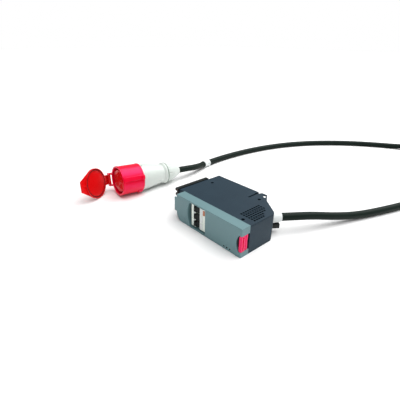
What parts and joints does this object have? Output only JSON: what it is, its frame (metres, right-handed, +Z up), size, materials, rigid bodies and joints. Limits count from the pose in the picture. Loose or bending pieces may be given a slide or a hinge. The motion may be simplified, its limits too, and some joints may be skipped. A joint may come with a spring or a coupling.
{
  "type": "portable power distribution box",
  "caption": "Flat plug-in power distribution box with a breaker behind its front bezel, a red release lever and a long lead that ends in a red industrial connector with a hinged lid.",
  "frame": {"origin": "under the middle of the box, on the surface it stands on, leaving out the lead and its connector", "axes": "+X to the right along the front bezel, +Y from the bezel to the back, +Z up"},
  "size_m": [0.6677, 1.1672, 0.0811],
  "materials": {
    "dark_sheet": "matte powder coat, dark slate blue",
    "black_screw": "black oxide",
    "bezel_plastic": "fine-textured blue-grey moulding",
    "black_plastic": "moulded black",
    "steel": "zinc plated",
    "orange_plastic": "orange-brown button",
    "white_plastic": "white moulding",
    "breaker_case": "off-white thermoset",
    "brass": "machined",
    "blue_wire": "insulated core",
    "earth_wire": "insulated core",
    "core_wire": "insulated core",
    "board": "circuit board with solder mask",
    "clear_plastic": "smoked clear moulding",
    "red_plastic": "glossy red moulding",
    "cable_jacket": "smooth black rubber jacket",
    "strap": "black hook-and-loop strap",
    "rubber": "black seal rubber",
    "grey_plastic": "light grey moulding",
    "grey_green": "grey-green ring"
  },
  "bodies": {
    "housing": {"base_tray": "dark_sheet", "board_components": "black_plastic", "breaker_pole_1": "breaker_case", "breaker_pole_2": "breaker_case", "breaker_pole_3": "breaker_case", "busbar_jaws": "brass", "cable_box_run": "cable_jacket", "cable_coil": "cable_jacket", "cable_connector_run": "cable_jacket", "cable_marker": "white_plastic", "clamp_ring": "grey_green", "coil_tie": "strap", "connector_barrel": "red_plastic", "connector_housing": "grey_plastic", "connector_insert": "red_plastic", "contact_sleeves": "brass", "cord_cleat": "black_plastic", "cover_screws": "black_screw", "current_sensor_1": "black_plastic", "current_sensor_2": "black_plastic", "current_sensor_3": "black_plastic", "din_rail": "steel", "earth_wire": "earth_wire", "front_bezel": "bezel_plastic", "gland_nut": "grey_plastic", "gland_seal": "rubber", "guide_rail_screws": "steel", "lever_pin": "steel", "lever_spring": "steel", "lid_hinge_pin": "steel", "light_pipes": "clear_plastic", "line_wire_1": "core_wire", "line_wire_2": "core_wire", "line_wire_3": "core_wire", "load_wire_1": "core_wire", "load_wire_2": "core_wire", "load_wire_3": "core_wire", "monitor_board": "board", "neutral_wire": "blue_wire", "pole_label_plates": "white_plastic", "rail_bracket": "steel", "rear_contact_block": "black_plastic", "sensor_bracket": "steel", "side_guide_rail": "black_plastic", "strain_relief_boot": "white_plastic", "terminal_screws": "steel", "top_cover": "dark_sheet"},
    "toggles": {"breaker_toggle_1": "black_plastic", "breaker_toggle_2": "black_plastic", "breaker_toggle_3": "black_plastic", "toggle_tie_rod": "steel", "toggle_shaft": "steel"},
    "trip_button": {"trip_button": "orange_plastic"},
    "lever": {"release_lever": "red_plastic"},
    "lid": {"connector_lid": "red_plastic", "lid_gasket": "rubber"}
  },
  "joints": [
    {"name": "toggle_throw", "type": "hinge", "parent": "housing", "child": "toggles", "pos_m": [-0.0185, -0.0653, 0.0325], "axis": [0, 0, 1], "range_deg": [0, 76]},
    {"name": "trip_button_press", "type": "slide", "parent": "housing", "child": "trip_button", "axis": [0, 1, 0], "range_m": [0, 0.0015], "stiffness_N_per_m": 800},
    {"name": "lever_swing", "type": "hinge", "parent": "housing", "child": "lever", "pos_m": [0.1075, -0.0592, 0.0305], "axis": [0, 0, 1], "range_deg": [0, 35], "stiffness_Nm_per_rad": 0.06},
    {"name": "lid_hinge", "type": "hinge", "parent": "housing", "child": "lid", "pos_m": [-0.33188, -0.11564, 0.02952], "axis": [-0.2363, 0.0852, 0.9679], "range_deg": [-50, 57]}
  ]
}
